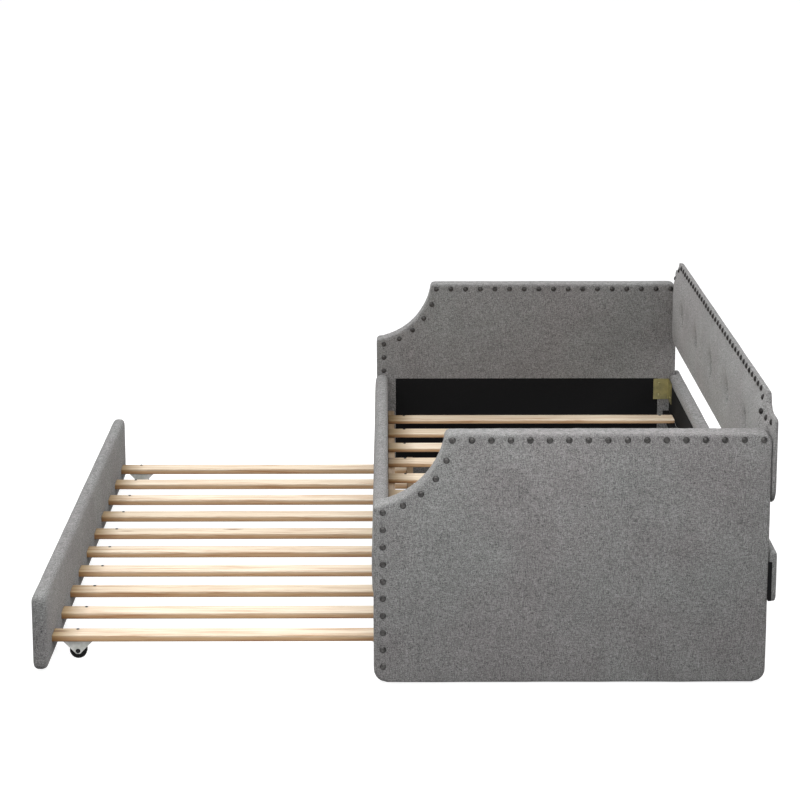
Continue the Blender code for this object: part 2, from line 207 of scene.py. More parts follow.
def tweed(name, dark, light):
    """Grey upholstery: crossed slubby threads, pale and dark flecks, and slow changes of tone."""
    tree = Tree(name, light, 0.92)
    level_threads = tree.noise((90, 90, 700), 2.0)
    upright_threads = tree.noise((640, 640, 80), 2.0)
    flecks = tree.noise((340, 340, 340), 3.0, 0.75)
    specks = tree.noise((620, 620, 620), 1.0)
    slow = tree.noise((9, 9, 9), 4.0, 0.65)
    warm = tree.noise((4.5, 4.5, 4.5), 2.0)
    threads = tree.blend(level_threads, 0.5, upright_threads, 0.5)
    grains = tree.blend(flecks, 0.55, specks, 0.45)
    mottle = tree.blend(threads, 0.4, grains, 0.6)
    shade = tree.ramp(mottle, [(0.40, dark), (0.50, between(dark, light, 0.5)), (0.60, light)])
    tone = tree.ramp(slow, [(0.3, (0.84, 0.84, 0.84)), (0.7, (1.0, 1.0, 1.0))])
    tint = tree.ramp(warm, [(0.35, (1.0, 0.975, 0.968)), (0.65, (0.982, 1.0, 0.98))])
    tree.colour(tree.multiplied(shade, tone, tint))
    weave = tree.math("ADD", threads, tree.math("MULTIPLY", grains, 0.9))
    tree.bump(weave, 0.0022, 0.6)
    tree.roughness(flecks, 0.82, 0.98)
    tree.shader.inputs["Sheen Weight"].default_value = 0.12
    tree.shader.inputs["Sheen Roughness"].default_value = 0.6
    tree.shader.inputs["Specular IOR Level"].default_value = 0.2
    return tree.material


def pine(name, scale=(1, 1, 1), pale=(0.97, 0.86, 0.70), dark=(0.66, 0.45, 0.29)):
    """Planed pine: long grain and small knots, with painted shade darkening the sides towards the bottom and
    the front end next to the rail or panel.
    """
    def along(a, b, c):
        return (a * scale[0], b * scale[1], c * scale[2])

    tree = Tree(name, pale, 0.55)
    rings = tree.noise(along(110, 3.2, 110), 4.0, 0.65, 0.8)
    fine = tree.noise(along(520, 14, 520), 3.0, 0.7)
    boards = tree.noise(along(5.2, 0.3, 2), 1.0)
    knots = tree.cells(along(13, 3.1, 13))
    grain = tree.ramp(rings, [(0.36, dark), (0.47, between(dark, pale, 0.65)), (0.60, pale)])
    fibres = tree.ramp(fine, [(0.35, (0.86, 0.82, 0.76)), (0.6, (1, 1, 1))])
    tone = tree.ramp(boards, [(0.35, (0.86, 0.84, 0.80)), (0.65, (1.0, 1.0, 1.0))])
    spots = tree.ramp(knots, [(0.06, (0.33, 0.17, 0.07)), (0.13, (1, 1, 1))])
    inside = tree.nodes.new("ShaderNodeSeparateXYZ")
    tree.links.new(tree.generated, inside.inputs["Vector"])
    # painted shade: colour darkens down each piece's sides towards the bottom, lightest on the top face
    low_shade_stops = [(0.0, (0.36, 0.24, 0.14)), (0.16, (0.62, 0.45, 0.30))]
    low_shade_stops += [(0.55, (0.80, 0.62, 0.46)), (0.97, (1, 1, 1))]
    # painted shade: darker over the first few centimetres of the front end, where the piece meets the rail or
    # panel
    end_shade_stops = [(0.0, (0.30, 0.24, 0.14)), (0.022, (0.50, 0.42, 0.29)), (0.09, (1, 1, 1))]
    painted_low_shade = tree.ramp(inside.outputs["Z"], low_shade_stops)
    painted_end_shade = tree.ramp(inside.outputs["Y"], end_shade_stops)
    tree.colour(tree.multiplied(grain, fibres, tone, painted_low_shade, painted_end_shade, spots))
    tree.bump(tree.math("ADD", rings, fine), 0.0006, 0.35)
    tree.roughness(fine, 0.42, 0.68)
    return tree.material


def plywood(name):
    tree = Tree(name, (0.50, 0.36, 0.21), 0.75)
    grain = tree.noise((60, 5, 60), 4.0, 0.6, 0.4)
    tree.colour(tree.ramp(grain, [(0.35, (0.36, 0.23, 0.12)), (0.65, (0.58, 0.43, 0.26))]))
    tree.bump(grain, 0.0008, 0.4)
    return tree.material


def non_woven(name):
    """Black dust cover: pressed fibres with a fine dimple pattern."""
    tree = Tree(name, (0.006, 0.006, 0.0065), 0.9)
    fibres = tree.noise((900, 900, 900), 2.0)
    sag = tree.noise((16, 16, 16), 2.0)
    dimples = tree.cells((420, 420, 420))
    tree.colour(tree.ramp(fibres, [(0.35, (0.0035, 0.0035, 0.004)), (0.7, (0.009, 0.009, 0.0095))]))
    tree.bump(tree.math("ADD", tree.math("MULTIPLY", dimples, 0.2), sag), 0.002, 0.4)
    tree.shader.inputs["Specular IOR Level"].default_value = 0.15
    return tree.material


def metal(name, colour, worn, roughness, metallic=1.0, grain=(300, 300, 300)):
    """Plated or painted metal with a mottled finish and small scuffs."""
    tree = Tree(name, colour, roughness)
    cloud = tree.noise(tuple(value * 0.15 for value in grain), 3.0, 0.6)
    scuffs = tree.noise(grain, 3.0, 0.7)
    tree.colour(tree.ramp(cloud, [(0.35, worn), (0.62, colour)]))
    tree.roughness(scuffs, roughness - 0.1, roughness + 0.12)
    tree.bump(scuffs, 0.0004, 0.3)
    tree.shader.inputs["Metallic"].default_value = metallic
    return tree.material


def plastic(name, colour, roughness):
    tree = Tree(name, colour, roughness)
    texture = tree.noise((1400, 1400, 1400), 2.0)
    dust = tree.noise((60, 60, 60), 3.0, 0.7)
    tree.colour(tree.ramp(dust, [(0.45, colour), (0.75, tuple(value * 1.8 + 0.002 for value in colour))]))
    tree.shader.inputs["Specular IOR Level"].default_value = 0.14
    tree.bump(texture, 0.0003, 0.3)
    tree.roughness(dust, roughness - 0.06, roughness + 0.12)
    return tree.material


TWEED = tweed("grey_tweed", (0.050, 0.050, 0.051), (0.405, 0.400, 0.400))
PINE = pine("pine_slats")
# darker copy of the pine for the front slat ledger and trundle rear rail: painted shade, as these pieces sit in
# shadow
PINE_RAIL_SHADED = pine("pine_rails_painted_shade", (0.04, 26, 1), (0.52, 0.38, 0.25), (0.30, 0.19, 0.11))
PLYWOOD = plywood("plywood")
LINING = non_woven("black_lining")
ZINC = metal("yellow_zinc", (0.42, 0.38, 0.19), (0.29, 0.28, 0.15), 0.45)
STEEL = metal("pale_steel", (0.62, 0.62, 0.60), (0.42, 0.43, 0.40), 0.45, 0.35)
FINE_GRAIN = (700, 700, 700)
BRONZE = metal("dark_bronze", (0.085, 0.082, 0.080), (0.034, 0.033, 0.032), 0.40, 0.85, FINE_GRAIN)
# darker copy of the nail bronze: painted shade on the farther, less lit nails of the back panel
SHADED_BRONZE = metal("bronze_painted_shade", (0.036, 0.034, 0.033), (0.016, 0.015, 0.015), 0.40, 0.8, FINE_GRAIN)
SCREW = metal("blackened_screw", (0.020, 0.019, 0.018), (0.010, 0.010, 0.010), 0.45, 0.8)
BLACK = plastic("black_plastic", (0.012, 0.012, 0.013), 0.45)
TYRE = plastic("wheel_tyre", (0.0035, 0.0035, 0.0035), 0.6)


# ---------------------------------------------------------------- mesh helpers
def link(name, mesh, material):
    piece = bpy.data.objects.new(name, mesh)
    bpy.context.scene.collection.objects.link(piece)
    piece.data.materials.clear()
    piece.data.materials.append(material)
    return piece


def applied(piece):
    """Applies all of a piece's modifiers."""
    depsgraph = bpy.context.evaluated_depsgraph_get()
    mesh = bpy.data.meshes.new_from_object(piece.evaluated_get(depsgraph))
    piece.modifiers.clear()
    piece.data = mesh
    return piece


def dense(piece):
    """Even small faces all over, so that the surface can be shaped."""
    remesh = piece.modifiers.new("even_faces", "REMESH")
    remesh.mode = "VOXEL"
    remesh.voxel_size = VOXEL
    relax = piece.modifiers.new("relax", "SMOOTH")
    relax.factor = 0.5
    relax.iterations = SMOOTHING
    return applied(piece)


def coordinates(mesh):
    values = np.empty(len(mesh.vertices) * 3)
    mesh.vertices.foreach_get("co", values)
    return values.reshape(-1, 3)


def set_coordinates(mesh, values):
    mesh.vertices.foreach_set("co", values.astype(np.float32).ravel())
    mesh.update()


def smoothstep(values):
    clipped = np.clip(values, 0.0, 1.0)
    return clipped * clipped * (3 - 2 * clipped)


def prism(outline, axis, low, high):
    """Solid made by pushing a closed outline along X, Y or Z."""
    order = {"X": (2, 0, 1), "Y": (0, 2, 1), "Z": (0, 1, 2)}[axis]
    shape = bmesh.new()
    rings = []
    for level in (low, high):
        ring = []
        for a, b in outline:
            point = (a, b, level)
            ring.append(shape.verts.new([point[index] for index in order]))
        rings.append(ring)
    shape.faces.new(rings[0])
    shape.faces.new(rings[1])
    for index in range(len(outline)):
        after = (index + 1) % len(outline)
        shape.faces.new((rings[0][index], rings[0][after], rings[1][after], rings[1][index]))
    bmesh.ops.recalc_face_normals(shape, faces=shape.faces)
    return shape


def finished(name, shape, material):
    """New object from a bmesh, smooth except along its sharp edges."""
    mesh = bpy.data.meshes.new(name)
    shape.to_mesh(mesh)
    shape.free()
    mesh.shade_smooth()
    mesh.set_sharp_from_angle(angle=math.radians(40))
    return link(name, mesh, material)


def bevelled(piece, width, segments):
    bevel = piece.modifiers.new("round_edges", "BEVEL")
    bevel.width = width
    bevel.segments = segments
    bevel.limit_method = "ANGLE"
    bevel.angle_limit = math.radians(50)
    return applied(piece)


def arc(centre, radius, start, end, steps):
    points = []
    for step in range(steps + 1):
        angle = math.radians(start + (end - start) * step / steps)
        points.append((centre[0] + radius * math.cos(angle), centre[1] + radius * math.sin(angle)))
    return points


def filleted(corners, steps=6):
    """Closed outline from (a, b, radius) corners, each rounded to its radius."""
    outline = []
    count = len(corners)
    for index, (a, b, radius) in enumerate(corners):
        corner = Vector((a, b))
        if radius == 0:
            outline.append((a, b))
            continue
        before = (Vector(corners[index - 1][:2]) - corner).normalized()
        after = (Vector(corners[(index + 1) % count][:2]) - corner).normalized()
        half_angle = before.angle(after) / 2
        centre = corner + (before + after).normalized() * (radius / math.sin(half_angle))
        first = corner + before * (radius / math.tan(half_angle)) - centre
        last = corner + after * (radius / math.tan(half_angle)) - centre
        swing = first.angle_signed(last)
        for step in range(steps + 1):
            outline.append(tuple(centre + Matrix.Rotation(-swing * step / steps, 2) @ first))
    return outline


def turned(profile, axis, place, sides=24):
    """Adds a solid of revolution, from (along, radius) points, to a new bmesh at a place."""
    shape = bmesh.new()
    rings = []
    for along, radius in profile:
        if radius == 0:
            rings.append([shape.verts.new((0, 0, along))])
            continue
        ring = []
        for side in range(sides):
            angle = 2 * math.pi * side / sides
            ring.append(shape.verts.new((radius * math.cos(angle), radius * math.sin(angle), along)))
        rings.append(ring)
    for lower, upper in zip(rings, rings[1:]):
        for side in range(sides):
            after = (side + 1) % sides
            corners = [lower[side % len(lower)], lower[after % len(lower)]]
            corners += [upper[after % len(upper)], upper[side % len(upper)]]
            shape.faces.new(list(dict.fromkeys(corners)))
    bmesh.ops.recalc_face_normals(shape, faces=shape.faces)
    facing = Vector((0, 0, 1)).rotation_difference(Vector(axis)).to_matrix().to_4x4()
    bmesh.ops.transform(shape, verts=shape.verts, matrix=Matrix.Translation(place) @ facing)
    return shape


def gathered(name, shapes, material):
    """One piece from several bmeshes."""
    whole = bmesh.new()
    for shape in shapes:
        mesh = bpy.data.meshes.new("part")
        shape.to_mesh(mesh)
        shape.free()
        whole.from_mesh(mesh)
        bpy.data.meshes.remove(mesh)
    return finished(name, whole, material)


# ---------------------------------------------------------------- nails
def nail(place, out, rise=NAIL_RISE):
    """Domed nailhead with a small rim, its skirt just under the fabric."""
    profile = [(-0.0025, 0), (-0.0025, NAIL_RADIUS * 0.96), (-0.0005, NAIL_RADIUS), (0.0004, NAIL_RADIUS)]
    for step in range(1, 5):
        angle = math.pi / 2 * step / 4
        radius = NAIL_RADIUS * 0.97 * math.cos(angle)
        profile.append((0.0004 + (rise - 0.0004) * math.sin(angle), 0 if step == 4 else radius))
    return turned(profile, out, place, 18)


def even_points(start, end, pitch):
    count = max(1, round((Vector(end) - Vector(start)).length / pitch))
    return [Vector(start).lerp(Vector(end), step / count) for step in range(count + 1)]


def arm_nail_line():
    """(y, z) of every nail on one face of an arm: column up the front, round the scoop, along the top."""
    along = ARM_FRONT + SCOOP_CENTRE[0]
    up = SCOOP_CENTRE[1]
    radius = SCOOP_RADIUS + NAIL_INSET - 0.001
    column_y = ARM_FRONT + NAIL_INSET + 0.004
    first_angle = math.acos((column_y - along) / radius)
    top_z = ARM_TOP - NAIL_INSET + 0.004
    last_angle = math.asin((up - top_z) / radius)
    points = []
    steps = 5
    for step in range(steps + 1):
        angle = first_angle + (last_angle - first_angle) * step / steps
        points.append((along + radius * math.cos(angle), up - radius * math.sin(angle)))
    column = even_points(points[0], (column_y, 0.049), COLUMN_PITCH)
    row = even_points(points[-1], (ARM_BACK - 0.0225, top_z), NAIL_PITCH)
    return [tuple(point) for point in reversed(column[1:])] + points + [tuple(point) for point in row[1:]]


def panel_nail_line():
    """(x, z) of the nails on the back panel's front: shoulder, scoop and top, mirrored."""
    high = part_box("back_panel_board")[1]
    half = high.x
    row_z = high.z - 0.0085
    corner = [(half - 0.043, SHOULDER_HEIGHT - 0.020), (half - 0.088, SHOULDER_HEIGHT - 0.020)]
    corner += [(half - 0.122, SHOULDER_HEIGHT - 0.010), (half - 0.146, SHOULDER_HEIGHT + 0.022)]
    ends = (half - 0.190, row_z)
    row = even_points(ends, (-ends[0], row_z), NAIL_PITCH)
    return corner + [tuple(point) for point in row] + [(-x, z) for x, z in reversed(corner)]


def dimple(points, normals, nails, side, axis, lift):
    """Moves points near each nail inwards, along the surface's normal."""
    tree = KDTree(len(nails))
    for index, place in enumerate(nails):
        tree.insert(place, index)
    tree.balance()
    facing = normals[:, axis] * side
    for index in np.nonzero(facing > 0.3)[0]:
        distance = tree.find(points[index])[2]
        if distance < 0.035:
            depth = NAIL_DIMPLE * math.exp(-((distance / NAIL_DIMPLE_REACH) ** 2))
            lift[index] -= depth


# ---------------------------------------------------------------- upholstered slabs
def vertex_normals(mesh):
    values = np.empty(len(mesh.vertices) * 3, np.float32)
    mesh.vertices.foreach_get("normal", values)
    return values.reshape(-1, 3).astype(float)


def gentle_waves(points, strength):
    """Slow unevenness of fabric pulled over foam, as a sum of a few seeded waves."""
    total = np.zeros(len(points))
    for wavelength, share in ((0.31, 0.45), (0.17, 0.30), (0.083, 0.25)):
        direction = rng.normal(size=3)
        direction /= np.linalg.norm(direction)
        across = rng.normal(size=3)
        across /= np.linalg.norm(across)
        phase = rng.uniform(0, 2 * math.pi, 2)
        first = np.sin(points @ direction * 2 * math.pi / wavelength + phase[0])
        second = np.sin(points @ across * 2 * math.pi / (wavelength * 1.4) + phase[1])
        total += share * first * second
    return total * strength


def push(mesh, points, normals, lift):
    set_coordinates(mesh, points + normals * lift[:, None])


def arm_outline():
    along, up = SCOOP_CENTRE
    depth = ARM_BACK - ARM_FRONT
    low_end = -math.degrees(math.acos(-along / SCOOP_RADIUS))
    high_end = math.degrees(math.asin((ARM_TOP - up) / SCOOP_RADIUS))
    scoop = arc(SCOOP_CENTRE, SCOOP_RADIUS, low_end, high_end, 30)
    corners = [(depth, ARM_LOW.z, 0.035), (depth, ARM_TOP, 0.027), (*scoop[-1], 0.014)]
    corners += [(*point, 0) for point in reversed(scoop[1:-1])]
    corners += [(*scoop[0], 0.009), (0, ARM_LOW.z, 0.035)]
    return [(ARM_FRONT + a, b) for a, b in filleted(corners)]


def rectangle(left, bottom, right, top):
    return [(left, bottom), (right, bottom), (right, top), (left, top)]


def pocket_block(node, grow):
    """Bmesh of the space that a lining and the board behind it need."""
    low, high = span(node)
    board_low, board_high = span(node.replace("lining", "board"))
    outline = rectangle(low.y - grow, low.z - grow, high.y + grow, high.z + grow)
    near = min(low.x, board_low.x) - 0.02
    return prism(outline, "X", near, max(high.x, board_high.x) + grow)


def cut_by(piece, shape):
    cutter = finished("cutter", shape, TWEED)
    boolean = piece.modifiers.new("cut", "BOOLEAN")
    boolean.operation = "DIFFERENCE"
    boolean.solver = "EXACT"
    boolean.object = cutter
    applied(piece)
    bpy.data.objects.remove(cutter)


def make_right_arm():
    """Arm slab: soft edges, crowned faces, a nail dimple at every nail and a pocket for the lining."""
    slab = finished("right_arm_upholstery", prism(arm_outline(), "X", ARM_INNER, ARM_OUTER), TWEED)
    bevelled(slab, 0.014, 4)
    dense(slab)
    points = coordinates(slab.data)
    normals = vertex_normals(slab.data)
    lift = gentle_waves(points, 0.0007)
    edge = np.minimum(points[:, 1] - ARM_FRONT, ARM_BACK - points[:, 1])
    edge = np.minimum(edge, np.minimum(points[:, 2] - ARM_LOW.z, ARM_TOP - points[:, 2]))
    from_centre = np.hypot(points[:, 1] - ARM_FRONT - SCOOP_CENTRE[0], points[:, 2] - SCOOP_CENTRE[1])
    edge = np.minimum(edge, from_centre - SCOOP_RADIUS)
    outward = np.abs(normals[:, 0])
    lift += ARM_CROWN * smoothstep(edge / 0.10) * outward
    lining_low, lining_high = span("right_arm_lining")
    inside = np.minimum(points[:, 1] - lining_low.y, lining_high.y - points[:, 1])
    inside = np.minimum(inside, np.minimum(points[:, 2] - lining_low.z, lining_high.z - points[:, 2]))
    near_lining = smoothstep((inside + 0.06) / 0.06) * (normals[:, 0] < -0.3)
    lift -= ARM_CROWN * smoothstep(edge / 0.10) * near_lining
    for side, face in ((1, ARM_OUTER), (-1, ARM_INNER)):
        nails = [(face, y, z) for y, z in arm_nail_line()]
        dimple(points, normals, nails, side, 0, lift)
    push(slab.data, points, normals, lift)
    cut_by(slab, pocket_block("right_arm_lining", 0.0003))
    slab.data.shade_smooth()
    slab.data.set_sharp_from_angle(angle=math.radians(60))
    return slab


def mirrored(piece, name):
    """Mirror image of a piece in the YZ plane."""
    mesh = piece.data.copy()
    points = coordinates(mesh)
    points[:, 0] *= -1
    set_coordinates(mesh, points)
    mesh.flip_normals()
    return link(name, mesh, piece.data.materials[0])


def arm_nails(name, side):
    shapes = []
    for y, z in arm_nail_line():
        for face, out in ((ARM_OUTER, 1), (ARM_INNER, -1)):
            shapes.append(nail((side * (face - out * NAIL_SINK), y, z), (side * out, 0, 0)))
    return gathered(name, shapes, BRONZE)


def make_arms():
    right = make_right_arm()
    left = mirrored(right, "left_arm_upholstery")
    for piece, side_name, side in ((right, "right", 1), (left, "left", -1)):
        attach(piece, "daybed")
        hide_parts(side_name + "_arm_cover")
        nails = arm_nails(side_name + "_arm_nails", side)
        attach(nails, "daybed")


# ---------------------------------------------------------------- back panel
def panel_outline(half_width, shoulder_inset, low, high):
    """Front view of the back panel: scooped top corners above low shoulders, round bottom corners."""
    right = arc((half_width - shoulder_inset, high), high - SHOULDER_HEIGHT, 180, 270, 12)
    corners = [(half_width, low, PANEL_FOOT_RADIUS), (half_width, SHOULDER_HEIGHT, TIP_RADIUS)]
    corners += [(*point, 0) for point in reversed(right)]
    corners += [(-a, b, 0) for a, b in right]
    corners += [(-half_width, SHOULDER_HEIGHT, TIP_RADIUS), (-half_width, low, PANEL_FOOT_RADIUS)]
    return filleted(corners, 8)


BUTTONS = ["tuft_button_" + str(index + 1) for index in range(BUTTON_COUNT)]


def pulled_pad(piece, pinned, moved_to, cap):
    """Cloth simulation of fabric over foam: pinned points stay where moved_to puts them."""
    set_coordinates(piece.data, moved_to)
    start = coordinates(piece.data)
    group = piece.vertex_groups.new(name="pinned")
    group.add([int(index) for index in np.nonzero(pinned)[0]], 1.0, "REPLACE")
    cloth = piece.modifiers.new("cloth", "CLOTH")
    cloth.settings.quality = 5
    cloth.settings.mass = 0.3
    cloth.settings.tension_stiffness = 25
    cloth.settings.compression_stiffness = 12
    cloth.settings.bending_stiffness = 1.2
    cloth.settings.use_pressure = True
    cloth.settings.uniform_pressure_force = 3.0
    cloth.settings.vertex_group_mass = "pinned"
    cloth.settings.effector_weights.gravity = 0
    cloth.collision_settings.use_collision = False
    scene = bpy.context.scene
    for step in range(1, CLOTH_FRAMES + 1):
        scene.frame_set(step)
    applied(piece)
    piece.vertex_groups.clear()
    scene.frame_set(1)
    moved = coordinates(piece.data) - start
    length = np.linalg.norm(moved, axis=1)
    scale = np.where(length > cap, cap / np.maximum(length, 1e-9), 1.0)
    set_coordinates(piece.data, start + moved * scale[:, None])


def make_back_panel():
    """Padded panel: a board that passes behind the arms, and a tufted pad between them."""
    board_low, board_high = span("back_panel_board")
    pad_low, pad_high = span("back_panel_pad")
    half = board_high.x
    pad_half = pad_high.x
    board_outline = panel_outline(half, SHOULDER_INSET, board_low.z, board_high.z)
    board = prism(board_outline, "Y", board_low.y, board_high.y)
    board = bevelled(finished("board", board, TWEED), 0.006, 3)
    foot = half - SHOULDER_INSET
    pad_outline = panel_outline(pad_half, pad_half - foot + 0.004, pad_low.z, board_high.z)
    pad = prism(pad_outline, "Y", pad_low.y, board_low.y + 0.007)
    piece = bevelled(finished("back_panel_upholstery", pad, TWEED), 0.009, 4)
    whole = bmesh.new()
    whole.from_mesh(board.data)
    whole.from_mesh(piece.data)
    whole.to_mesh(piece.data)
    whole.free()
    bpy.data.objects.remove(board)
    dense(piece)

    points = coordinates(piece.data)
    normals = vertex_normals(piece.data)
    front = normals[:, 1] < -0.5
    scoop = board_high.z - SHOULDER_HEIGHT
    to_scoop = np.hypot(np.minimum(np.abs(points[:, 0]) - foot, 0), board_high.z - points[:, 2]) - scoop
    near_scoop = np.abs(points[:, 0]) > foot - scoop
    top_edge = np.minimum(board_high.z - points[:, 2], np.where(near_scoop, to_scoop, 1))
    edge = np.minimum(pad_half - np.abs(points[:, 0]), top_edge)
    edge = np.minimum(edge, points[:, 2] - pad_low.z)
    on_pad = front & (points[:, 1] < pad_low.y + 0.006)
    depth = np.clip((board_low.y - points[:, 1]) / (board_low.y - pad_low.y), 0, 1)
    points[:, 1] += PAD_TOP_SETBACK * depth * (1 - smoothstep(top_edge / 0.080))
    lift = gentle_waves(points, WAVE_HEIGHT)
    lift += PAD_CROWN * smoothstep(edge / 0.08) * on_pad
    nearest = np.full(len(points), 1.0)
    for name in BUTTONS:
        low, high = span(name)
        centre = (low + high) / 2
        across = points[:, 0] - centre.x
        up = points[:, 2] - centre.z
        radius = np.hypot(across, up)
        nearest = np.minimum(nearest, radius)
        lift -= TUFT_DEPTH * np.exp(-((radius / TUFT_REACH) ** 2)) * on_pad
        crease = np.exp(-((across / (0.008 + 0.08 * np.abs(up))) ** 2))
        lift -= CREASE_DEPTH * crease * np.exp(-((up / CREASE_REACH) ** 2)) * on_pad
    for face, inner in ((pad_low.y, True), (board_low.y, False)):
        nails = [(x, face, z) for x, z in panel_nail_line() if (abs(x) < pad_half) == inner]
        dimple(points, normals, nails, -1, 1, lift)
    moved = points + normals * lift[:, None]
    free = on_pad & (edge > 0.03) & (nearest > 0.030)
    pulled_pad(piece, ~free, moved, CLOTH_REACH)
    piece.data.shade_smooth()
    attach(piece, "daybed")
    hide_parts("back_panel_board", "back_panel_pad")

    surface = KDTree(len(piece.data.vertices))
    for index, vertex in enumerate(piece.data.vertices):
        surface.insert((vertex.co.x, 0, vertex.co.z) if vertex.normal.y < -0.5 else (9, 9, 9), index)
    surface.balance()
    shapes = []
    for x, z in panel_nail_line():
        found = [piece.data.vertices[index] for _, index, _ in surface.find_n((x, 0, z), 8)]
        place = sum((vertex.co for vertex in found), Vector()) / len(found)
        out = sum((vertex.normal for vertex in found), Vector()).normalized()
        out = (out + Vector((0, -1, 0))).normalized()    # half the slope, where the pad steps back
        shapes.append(nail(Vector((x, place.y, z)) - out * 0.0002, out, PANEL_NAIL_RISE))
    # back panel nails take the darker bronze copy: painted shade
    nails = gathered("back_panel_nails", shapes, SHADED_BRONZE)
    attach(nails, "daybed")

    for index, name in enumerate(BUTTONS):
        low, high = span(name)
        centre = (low + high) / 2
        radius = (high.x - low.x) / 2
        profile = [(-0.003, 0), (-0.003, radius * 0.9), (-0.001, radius)]
        profile += [(0.0012 + 0.0032 * math.sin(a), radius * math.cos(a)) for a in np.linspace(0.15, 1.35, 7)]
        profile.append((0.0046, 0))
        shape = turned(profile, (0, -1, 0), (centre.x, centre.y, centre.z), 28)
        button = finished("covered_button_" + str(index + 1), shape, TWEED)
        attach(button, "daybed")
        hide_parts(name)


# ---------------------------------------------------------------- rails and trundle panel
def make_slab(name, node, shape, soft_edge, crown):
    """Upholstered rail or panel: soft edges, slow unevenness, and front and back faces a little crowned."""
    low, high = span(node)
    piece = finished(name, shape, TWEED)
    if soft_edge:
        bevelled(piece, soft_edge, 4)
    dense(piece)
    points = coordinates(piece.data)
    normals = vertex_normals(piece.data)
    edge = np.full(len(points), 1.0)
    for axis in (0, 2):
        edge = np.minimum(edge, np.minimum(points[:, axis] - low[axis], high[axis] - points[:, axis]))
    lift = gentle_waves(points, WAVE_HEIGHT)
    lift += crown * smoothstep(edge / 0.06) * np.abs(normals[:, 1])
    return piece, points, normals, lift


def keep_clear(points, normals, lift, axis, side, level):
    """Flattens the face that other pieces rest on."""
    facing = (normals[:, axis] * side > 0.4) & (np.abs(points[:, axis] - level) < 0.004)
    lift[facing] = np.minimum(lift[facing], 0.0)


def finish_slab(piece, points, normals, lift, node, body):
    push(piece.data, points, normals, lift)
    piece.data.shade_smooth()
    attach(piece, body)
    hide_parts(node)


def make_front_rail():
    low, high = span("front_rail")
    corners = [(low.y, low.z, 0.010), (high.y, low.z, 0.006), (high.y, high.z, 0.016), (low.y, high.z, 0.018)]
    shape = prism(filleted(corners), "X", low.x, high.x)
    piece, points, normals, lift = make_slab("front_rail_upholstery", "front_rail", shape, 0, RAIL_CROWN)
    keep_clear(points, normals, lift, 1, 1, high.y)
    finish_slab(piece, points, normals, lift, "front_rail", "daybed")


def make_back_rail():
    low, high = span("back_rail")
    face = low.y
    step = span("back_panel_board")[0].y
    inner = span("front_rail")[1].x
    plan = [(low.x, step), (-inner, step), (-inner, face), (inner, face), (inner, step)]
    plan += [(high.x, step), (high.x, high.y), (low.x, high.y)]
    shape = prism(plan, "Z", low.z, high.z)
    piece, points, normals, lift = make_slab("back_rail_upholstery", "back_rail", shape, 0.010, RAIL_CROWN)
    lift[normals[:, 1] < -0.4] = 0.0
    finish_slab(piece, points, normals, lift, "back_rail", "daybed")

    for side_name, side in (("left", -1), ("right", 1)):
        strip_low = Vector((inner + 0.004, step - 0.0004, low.z + 0.004))
        strip_high = Vector((high.x + 0.0006, step + 0.0085, high.z - 0.030))
        outline = rectangle(side * strip_low.x, strip_low.y, side * strip_high.x, strip_high.y)
        strip = finished(side_name + "_rail_end_lining", prism(outline, "Z", strip_low.z, strip_high.z), LINING)
        bevelled(strip, 0.0006, 2)
        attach(strip, "daybed")


def make_trundle_panel():
    low, high = span("trundle_front_panel")
    half = high.x
    corners = [(-half, low.z, 0.022), (half, low.z, 0.022), (half, high.z, 0.018), (-half, high.z, 0.018)]
    shape = prism(filleted(corners), "Y", low.y, high.y)
    name = "trundle_panel_upholstery"
    piece, points, normals, lift = make_slab(name, "trundle_front_panel", shape, 0.015, 0.0022)
    for index in range(SLAT_COUNT):
        slat_low, slat_high = span("trundle_slat_%02d" % (index + 1))
        across = np.abs(points[:, 0] - (slat_low.x + slat_high.x) / 2)
        up = np.abs(points[:, 2] - (slat_low.z + slat_high.z) / 2)
        away = np.hypot(np.maximum(across - 0.030, 0), np.maximum(up - 0.009, 0))
        lift -= 0.0022 * np.exp(-((away / 0.012) ** 2)) * (normals[:, 1] > 0.4)
    finish_slab(piece, points, normals, lift, "trundle_front_panel", "trundle")


# ---------------------------------------------------------------- screws, staples and hardware
def screw(place, out, radius=0.004, rise=0.0014):
    """Pan-head screw with a crossed recess."""
    profile = [(-0.001, 0), (-0.001, radius * 0.9), (0, radius), (rise * 0.55, radius * 0.93)]
    profile += [(rise * 0.9, radius * 0.7), (rise, radius * 0.34)]
    profile += [(rise * 0.45, radius * 0.26), (rise * 0.35, 0)]
    return turned(profile, out, place, 14)


def make_slat_screws():
    """Two black screws in each slat, near its front and back ends, close to one edge."""
    for name, prefix, setback, body in (
        ("main_slat_screws", "main_slat_", 0.055, "daybed"),
        ("trundle_slat_screws", "trundle_slat_", 0.065, "trundle"),
    ):
        front = span("front_rail")[1].y if body == "daybed" else span("trundle_front_panel")[1].y
        shapes = []
        for index in range(SLAT_COUNT):
            low, high = span(prefix + "%02d" % (index + 1))
            back = high.y - 0.045
            for y in (front + setback, back):
                shapes.append(screw((low.x + 0.008, y, high.z), (0, 0, 1), 0.0046, 0.0018))
        piece = gathered(name, shapes, SCREW)
        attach(piece, body)


def make_bracket_screws():
    for side_name, side in (("left", -1), ("right", 1)):
        low, high = span(side_name + "_corner_bracket")
        middle = (low.z + high.z) / 2
        arm_face = (low.x + 0.0028) if side < 0 else (high.x - 0.0028)
        rail_face = high.y - 0.0028
        shapes = []
        for up in (-0.020, 0.020):
            place = (arm_face, low.y + 0.020, middle + up)
            shapes.append(screw(place, (-side, 0, 0), 0.0048, 0.002))
            across = arm_face - side * 0.048
            shapes.append(screw((across, rail_face, middle + up), (0, -1, 0), 0.0048, 0.002))
        piece = gathered(side_name + "_bracket_screws", shapes, ZINC)
        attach(piece, "daybed")


